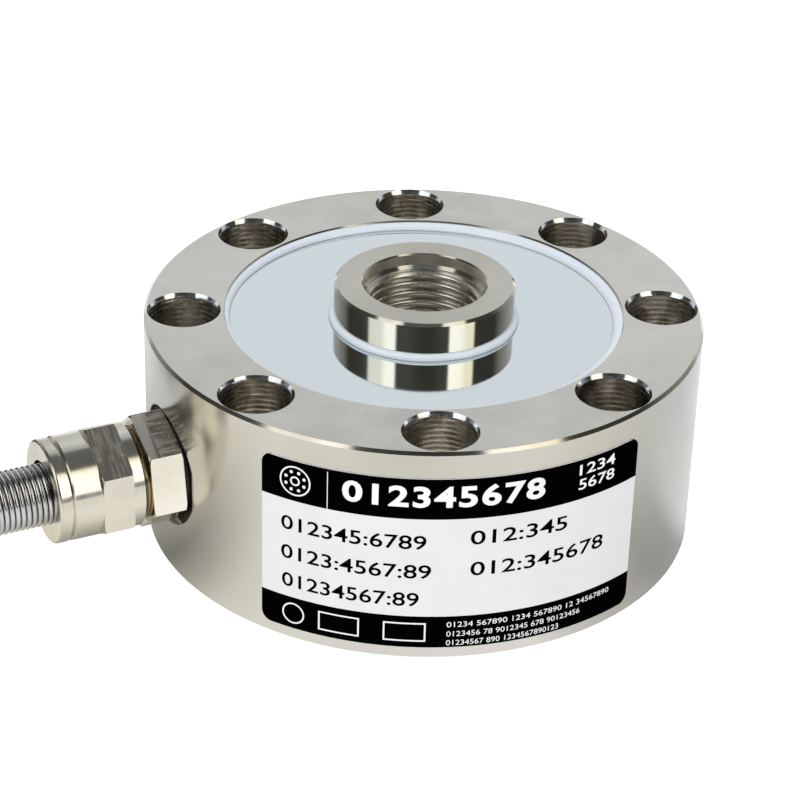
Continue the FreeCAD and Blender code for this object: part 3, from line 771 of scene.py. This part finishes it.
threads = Finish("thread_flanks", (0.84, 0.82, 0.77), 0.28, metallic=1.0)
threads.color(threads.mix(threads.between(threads.noise(200.0), 0.35, 0.7),
                          FLANK_LIGHT, FLANK_DARK))
threads.rough(threads.between(threads.noise(500.0), 0.3, 0.7, 0.24, 0.32))
threads.bump(threads.noise(1.0, detail=2.0, vector=threads.mapped(scale=FLANK_MARKS)),
             0.02 * MM, 0.4)
print("thread finish:", len(threads.tree.nodes), "nodes")

# %% [markdown]
# ## The mirror covers and the silicone
#
# The discs are polished stainless sheet, so they show the hub upside down. A very shallow, slow
# bump keeps that mirror from being perfect. The silicone is glossy and faintly uneven, and lets
# a little light into its skin.

# %% Finish the covers and the seals
MIRROR_LIGHT = (0.725, 0.78, 0.805)
MIRROR_DARK = (0.71, 0.765, 0.79)
SILICONE = (0.74, 0.79, 0.85)

cover = Finish("mirror_cover", (0.72, 0.775, 0.80), 0.05, metallic=1.0)
cover.rough(cover.between(cover.noise(90.0, detail=5.0), 0.3, 0.75, 0.03, 0.07))
cover.color(cover.mix(cover.between(cover.noise(30.0), 0.4, 0.7), MIRROR_LIGHT, MIRROR_DARK))
cover.bump(cover.noise(35.0, detail=1.0), 0.02 * MM, 0.15)

silicone = Finish("white_silicone", SILICONE, 0.22, **{
    "Subsurface Weight": 0.2, "Subsurface Radius": (0.002, 0.002, 0.002),
    "Subsurface Scale": 0.4, "Coat Weight": 0.3, "Coat Roughness": 0.1})
silicone.rough(silicone.between(silicone.noise(400.0), 0.3, 0.7, 0.16, 0.3))
silicone.bump(silicone.noise(260.0, detail=2.0), 0.12 * MM, 0.5)
print("cover and silicone:", len(cover.tree.nodes), "and", len(silicone.tree.nodes), "nodes")

# %% [markdown]
# ## The gland
#
# The gland is nickel plated brass. Its round parts are turned, so their rings run round the gland's
# axis, and the noise that draws them is squeezed along it. The flats that look up have coarser
# marks, rougher than the metal between them: round the axis on the nut, and along it on the first
# hexagon where it is nearest to the rim. The faces that look sideways are smooth. The ring between
# the hexagons is bare brass, with painted shade that darkens both its edges where it sits sunk
# between the hexagons, and the sleeve is bright drawn wire.

# %% Finish the gland
PLATED = (0.73, 0.70, 0.615)
PLATED_FLAT = (0.93, 0.89, 0.80)
TURNED = (9.0, 0.6, 0.6)
TURNED_FINE = (5.0, 0.35, 0.35)
MILLED = (0.4, 4.0, 4.0)
FACES_UP = 0.3
NUT_FLATS = (-67.9 * MM, -61.9 * MM)
MILLED_FROM = -56.3 * MM
MILLED_FADE = 0.1 * MM


def plated(name, color, roughness):
    """Plated metal whose tone drifts a little."""
    made = Finish(name, color, roughness, metallic=1.0)
    cloud = made.between(made.noise(130.0, detail=3.0), 0.4, 0.75)
    made.color(made.mix(cloud, color, tuple(c * 0.9 for c in color)))
    return made


def tool_marks(made, scale):
    """Fine marks, which are closest together along the axis of the largest scale."""
    return made.noise(420.0, detail=3.0, vector=made.mapped(scale=scale))


def turn_finely(made, roughness):
    """Put the rings of a lathe on metal whose axis is the gland's."""
    rings = tool_marks(made, TURNED)
    made.rough(made.between(rings, 0.25, 0.75, roughness * 0.7, roughness * 1.4))
    made.bump(rings, 0.006 * MM, 0.6)


def facing_up(made):
    """One where the metal faces upwards, and zero on its sides."""
    return made.math("GREATER_THAN", made.facing()[2], FACES_UP)


gland = plated("nickel_brass", PLATED, 0.14)
along = gland.parts()[0]
on_flats = gland.both(gland.math("GREATER_THAN", along, NUT_FLATS[0]),
                      gland.math("LESS_THAN", along, NUT_FLATS[1]))
on_flats = gland.both(on_flats, facing_up(gland))
rings, scratches = tool_marks(gland, TURNED), tool_marks(gland, TURNED_FINE)
gland.bump(gland.blend(on_flats, gland.math("MULTIPLY", rings, 0.3), scratches), 0.05 * MM, 0.6)
gland.rough(gland.blend(on_flats, gland.between(rings, 0.25, 0.75, 0.1, 0.2),
                        gland.between(scratches, 0.42, 0.62, 0.08, 0.42)))

gland_flats = plated("milled_brass", PLATED_FLAT, 0.12)
along = gland_flats.parts()[0]
scratches = tool_marks(gland_flats, MILLED)
milled = gland_flats.both(facing_up(gland_flats), gland_flats.between(
    along, MILLED_FROM, MILLED_FROM + MILLED_FADE))
gland_flats.bump(gland_flats.math("MULTIPLY", scratches, milled), 0.07 * MM, 0.6)
gland_flats.rough(gland_flats.blend(milled, 0.1, gland_flats.between(
    scratches, 0.42, 0.62, 0.08, 0.5)))
print("gland finishes:", len(gland.tree.nodes), "and", len(gland_flats.tree.nodes), "nodes")

# %% Finish the ring and the sleeve
BRASS = (0.34, 0.25, 0.12)
BRASS_BRIGHT = (0.36, 0.26, 0.12)
BRASS_PAINTED_SHADE = (0.05, 0.045, 0.035)
BRASS_MIDDLE = 58.82 * MM
BRASS_EDGE = (0.08 * MM, 0.3 * MM)
WIRE_LIGHT = (0.67, 0.68, 0.70)
WIRE_DARK = (0.53, 0.54, 0.56)

brass = Finish("bare_brass", BRASS, 0.16, metallic=1.0)
turn_finely(brass, 0.16)
# Painted shade: the ring goes dark towards both edges, where it sits sunk between the hexagons.
from_middle = brass.math("ABSOLUTE", brass.math("ADD", brass.parts()[0], BRASS_MIDDLE))
brass.color(brass.mix(brass.between(from_middle, *BRASS_EDGE), BRASS_BRIGHT, BRASS_PAINTED_SHADE))
tinned = plated("tinned_copper", (0.72, 0.70, 0.66), 0.3)
turn_finely(tinned, 0.3)
wire = Finish("spring_wire", (0.62, 0.63, 0.65), 0.14, metallic=1.0)
wire.rough(wire.between(wire.noise(500.0), 0.3, 0.7, 0.08, 0.2))
wire.color(wire.mix(wire.between(wire.noise(200.0), 0.4, 0.7), WIRE_LIGHT, WIRE_DARK))
print("wire finish:", len(wire.tree.nodes), "nodes")

# %% [markdown]
# ## Plastics, rubber and print
#
# None of these is one flat colour either. A sheath has a fine orange-peel skin, rubber is dusty,
# and a nylon tie is milky. The black ink is so matte that no room shows in it, which a shader
# gets by giving up its mirror part.

# %% Finish the rest
def plastic(name, color, roughness, grain=900.0, depth=0.02, drift=0.85, **constants):
    """A moulded or extruded plastic with a fine skin and a slow drift of colour."""
    made = Finish(name, color, roughness, **constants)
    cloud = made.noise(120.0, detail=2.0)
    made.color(made.mix(made.between(cloud, 0.35, 0.7), color, tuple(c * drift for c in color)))
    skin = made.noise(grain, detail=2.0)
    made.rough(made.between(skin, 0.3, 0.7, roughness * 0.85, min(1.0, roughness * 1.2)))
    return made.bump(skin, depth * MM, 0.5)


film = plastic("label_film", (0.695, 0.69, 0.685), 0.35, grain=1500.0, depth=0.004, drift=0.97)
finishes = {
    "nickel_steel": body, "mirror_cover": cover, "white_silicone": silicone,
    "nickel_brass": gland, "bare_brass": brass, "spring_wire": wire, "label_film": film,
    "gauge_film": plastic("gauge_film", (0.55, 0.30, 0.08), 0.4),
    "enamelled_wire": plastic("enamelled_wire", (0.45, 0.07, 0.04), 0.3),
    "circuit_board": plastic("circuit_board", (0.02, 0.15, 0.06), 0.35),
    "adhesive_pad": plastic("adhesive_pad", (0.6, 0.6, 0.55), 0.8),
    "resistor_ceramic": plastic("resistor_ceramic", (0.03, 0.03, 0.035), 0.4),
    "black_rubber": plastic("black_rubber", (0.018, 0.018, 0.018), 0.6, depth=0.05),
    "cable_sheath": plastic("cable_sheath", (0.022, 0.022, 0.024), 0.38, depth=0.03),
    "tie_nylon": plastic("tie_nylon", (0.72, 0.70, 0.64), 0.35, drift=0.93),
    "shrink_tube": plastic("shrink_tube", (0.015, 0.015, 0.015), 0.5, depth=0.05),
    "lead_red": plastic("lead_red", (0.45, 0.012, 0.012), 0.35),
    "lead_black": plastic("lead_black", (0.012, 0.012, 0.012), 0.35),
    "lead_green": plastic("lead_green", (0.01, 0.2, 0.045), 0.35),
    "lead_white": plastic("lead_white", (0.75, 0.74, 0.7), 0.35, drift=0.94),
    "lead_yellow": plastic("lead_yellow", (0.62, 0.42, 0.03), 0.35),
    "tinned_copper": tinned,
}
black_ink = plastic("black_ink", (0.0008, 0.0008, 0.0009), 0.6, grain=1500.0, depth=0.001,
                    **{"Specular IOR Level": 0.0})
white_ink = plastic("white_ink", (0.80, 0.80, 0.79), 0.35, grain=1500.0, depth=0.003, drift=0.97)


def dress(piece, finish):
    """Give a piece one finish only."""
    piece.data.materials.clear()
    piece.data.materials.append(finish.material)


for row in frame["record"]["subparts"]:
    dress(nodes[row["node"]], finishes[row["material_slot"]])
dress(cable_line, finishes["cable_sheath"])
dress(spring_wire, wire)
dress(centre_thread, threads)
dress(outer_bead, silicone)
dress(inner_bead, silicone)
dress(nodes["gland_body"], gland_flats)
dress(black_print, black_ink)
dress(white_print, white_ink)
print("finishes:", len(bpy.data.materials))

# %% [markdown]
# ## The table and the light
#
# Polished metal shows its surroundings, so the light is mostly a question of what stands round the
# part. The table that the camera sees is plain, and glows a little brighter than white. Metal
# doesn't see that one. It sees a second table in its place, which glows with painted light and
# shadow: its tone changes with the bearing and the distance, with painted shadow close to the part,
# because every shiny side is in part a picture of the table round it.

# %% Set the table
TABLE_SIZE = 6.0
TABLE_DROP = 0.02 * MM
CAMERA_BEARING = math.atan2(CAMERA_PLACE.y, CAMERA_PLACE.x)
NEAR_EDGE, FAR_EDGE = 53.0 * MM, 125.0 * MM
# Painted shadow: close to the part the reflected table's tone is darkened, most of all towards the
# gland.
PAINTED_SHADE_NEAR_THE_PART = (
    (-180, (1.1, 1.1, 1.1)), (-98, (0.45, 0.46, 0.44)), (-75, (0.38, 0.38, 0.35)),
    (-65, (0.25, 0.25, 0.22)), (-55, (0.50, 0.49, 0.44)), (-45, (0.85, 0.84, 0.78)),
    (-35, (1.0, 0.99, 0.94)), (0, (1.05, 1.05, 1.05)), (25, (1.05, 1.05, 1.05)),
    (35, (0.82, 0.82, 0.81)), (45, (0.68, 0.68, 0.67)), (65, (0.42, 0.42, 0.42)),
    (77, (0.44, 0.46, 0.48)), (87, (0.85, 0.88, 0.92)), (180, (1.1, 1.1, 1.1)),
)
# Further out the reflected table's tones are brighter, and they still vary round the part.
FAR_FROM_IT = (
    (-180, (1.1, 1.1, 1.1)), (-120, (1.0, 1.0, 1.04)), (-100, (0.94, 0.96, 0.99)),
    (-82, (1.05, 1.04, 0.98)), (-72, (1.7, 1.6, 1.28)), (-62, (1.0, 0.99, 0.92)),
    (-40, (1.0, 0.99, 0.94)), (0, (0.90, 0.90, 0.84)), (40, (1.0, 0.99, 0.95)),
    (56, (0.98, 0.98, 0.95)), (75, (0.92, 0.93, 0.92)), (90, (0.77, 0.81, 0.83)),
    (106, (0.72, 0.78, 0.83)), (122, (0.85, 0.92, 1.0)), (140, (1.2, 1.2, 1.2)),
    (180, (1.1, 1.1, 1.1)),
)


def lay_table(name, drop):
    """A wide sheet, a hair below the part's foot."""
    bm = bmesh.new()
    bmesh.ops.create_grid(bm, x_segments=1, y_segments=1, size=TABLE_SIZE)
    mesh = bpy.data.meshes.new(name)
    bm.to_mesh(mesh)
    bm.free()
    top = bpy.data.objects.new(name, mesh)
    top.location.z = -drop
    bpy.context.scene.collection.objects.link(top)
    return top


table_top = lay_table("table_top", TABLE_DROP)
table_top.visible_glossy = False
table = Finish("table_white", (0.28, 0.28, 0.28), 0.6, **{
    "Emission Color": (1, 1, 1, 1), "Emission Strength": 1.0, "Specular IOR Level": 0.1})
table.rough(table.between(table.noise(8.0), 0.3, 0.7, 0.5, 0.7))
dress(table_top, table)

mirrored_table = lay_table("mirrored_table", TABLE_DROP / 2)
mirrored_table.visible_camera = False
mirrored_table.visible_diffuse = False
mirrored_table.visible_shadow = False
shade = Finish("mirrored_table", (0, 0, 0), 1.0, **{"Specular IOR Level": 0.0,
                                                    "Emission Strength": 1.0})
x, y, z = shade.parts(shade.mapped(turn=(0, 0, -CAMERA_BEARING)))
bearing = shade.bearing(x, y)
away = shade.between(shade.length(x, y), NEAR_EDGE, FAR_EDGE)
shade.feed(shade.shader.inputs["Emission Color"], shade.mix(
    away, shade.around_ramp(bearing, PAINTED_SHADE_NEAR_THE_PART), shade.around_ramp(bearing, FAR_FROM_IT)))
dress(mirrored_table, shade)
print("tables:", table_top.name, "for the camera,", mirrored_table.name, "for reflections")

# %% [markdown]
# A dome stands over the tables, and only reflections see it too. Round its rim it is dark where
# the camera stands, bright where two soft boxes stand beside the camera, dark again beyond them,
# and pale at the back, where the flat tops look. Low down it is grey in front and pale behind,
# overhead it is dark, and its glow fades on the way up.

# %% Raise the dome
DOME_RADIUS = 1.6
BACKDROP = (0.83, 0.85, 0.87)
DUSK = (0.10, 0.095, 0.085)
CEILING = (0.22, 0.225, 0.225)
SOFT_BOX = (1.9, 1.85, 1.7)
ROUND_THE_RIM = (
    (-180, BACKDROP), (-172, BACKDROP), (-162, (0.52, 0.53, 0.53)), (-138, (0.42, 0.42, 0.40)),
    (-121, (0.27, 0.27, 0.24)), (-108, (0.06, 0.055, 0.045)), (-84, (0.07, 0.068, 0.06)),
    (-75, (0.10, 0.10, 0.09)), (-71, (1.35, 1.33, 1.2)), (-55, (1.4, 1.37, 1.24)),
    (-47, SOFT_BOX), (-36, SOFT_BOX), (-33, DUSK), (-18, (0.095, 0.095, 0.085)),
    (-4, (0.06, 0.06, 0.05)), (12, (0.06, 0.055, 0.045)), (32, (0.10, 0.095, 0.085)),
    (35, (2.0, 1.9, 1.7)), (50, (1.9, 1.8, 1.6)), (57, (1.6, 1.5, 1.15)),
    (66, (1.6, 1.5, 1.15)), (69, (0.055, 0.055, 0.045)), (102, (0.055, 0.055, 0.05)),
    (119, (0.29, 0.28, 0.25)), (140, (0.47, 0.46, 0.45)), (158, (0.55, 0.56, 0.57)),
    (168, BACKDROP), (180, BACKDROP),
)

# Degrees above the horizon, but for the shares, which are of a full turn from the camera's way.
BOX_TOP = (58, 63)
BACK_TOP = (61, 71)
BACK_SHARE = 0.35
FOOT = (8, 13)
FOOT_IN_FRONT = (0.30, 0.31, 0.34)
FOOT_BEHIND = (0.72, 0.72, 0.71)
FOOT_SHARE = 0.29
FADE = (42, 64)
FADED = 0.66

bm = bmesh.new()
bmesh.ops.create_uvsphere(bm, u_segments=48, v_segments=24, radius=DOME_RADIUS)
bmesh.ops.delete(bm, geom=[v for v in bm.verts if v.co.z < -0.01], context="VERTS")
dome_mesh = bpy.data.meshes.new("reflected_room")
bm.to_mesh(dome_mesh)
bm.free()
dome_mesh.shade_smooth()
dome = bpy.data.objects.new("reflected_room", dome_mesh)
bpy.context.scene.collection.objects.link(dome)
dome.visible_camera = False
dome.visible_diffuse = False
dome.visible_shadow = False
dome.visible_transmission = False
dome.visible_volume_scatter = False

room = Finish("reflected_room", (0, 0, 0), 1.0, **{"Specular IOR Level": 0.0,
                                                   "Emission Strength": 1.0})
x, y, z = room.parts(room.mapped(turn=(0, 0, -CAMERA_BEARING)))
bearing = room.bearing(x, y)
rise = room.math("ARCTAN2", z, room.length(x, y))
sideways = room.math("ABSOLUTE", room.math("SUBTRACT", bearing, 0.5))
at_back = room.math("GREATER_THAN", sideways, BACK_SHARE)
top_start, top_end = (room.blend(at_back, math.radians(box), math.radians(back))
                      for box, back in zip(BOX_TOP, BACK_TOP))
tone = room.mix(room.between(rise, top_start, top_end),
                room.around_ramp(bearing, ROUND_THE_RIM), CEILING)
foot_tone = room.mix(room.math("GREATER_THAN", sideways, FOOT_SHARE), FOOT_IN_FRONT, FOOT_BEHIND)
above_foot = room.between(rise, *(math.radians(angle) for angle in FOOT))
room.feed(room.shader.inputs["Emission Color"], room.mix(above_foot, foot_tone, tone))
room.feed(room.shader.inputs["Emission Strength"],
          room.between(rise, *(math.radians(angle) for angle in FADE), 1.0, FADED))
dress(dome, room)
print("dome:", DOME_RADIUS, "m,", len(ROUND_THE_RIM), "tones round its rim")

# %% [markdown]
# Neither the dome nor the second table lights anything: they only show in reflections. What isn't
# metal is lit by an even, slightly cool sky and by one soft lamp. Reflections leave the lamp out,
# so that it puts no square on the metal.

# %% Light what isn't metal
SKY = (0.92, 0.96, 1.0)
SKY_STRENGTH = 0.75
LAMP_SIZE = 0.9
LAMP_POWER = 8.0
LAMP_PLACE = (-0.5, -0.6, 1.1)

world = bpy.data.worlds.new("studio")
bpy.context.scene.world = world
world.use_nodes = True
world.node_tree.nodes["Background"].inputs["Color"].default_value = (*SKY, 1.0)
world.node_tree.nodes["Background"].inputs["Strength"].default_value = SKY_STRENGTH

lamp = bpy.data.lights.new("soft_lamp", "AREA")
lamp.shape = "RECTANGLE"
lamp.size, lamp.size_y = LAMP_SIZE, LAMP_SIZE
lamp.energy = LAMP_POWER
lamp_object = bpy.data.objects.new("soft_lamp", lamp)
lamp_object.location = LAMP_PLACE
lamp_object.rotation_euler = (-lamp_object.location).to_track_quat("-Z", "Y").to_euler()
lamp_object.visible_glossy = False
bpy.context.scene.collection.objects.link(lamp_object)
bpy.context.scene.view_settings.view_transform = "Standard"
print("lamp:", LAMP_POWER, "W, sky:", SKY_STRENGTH)
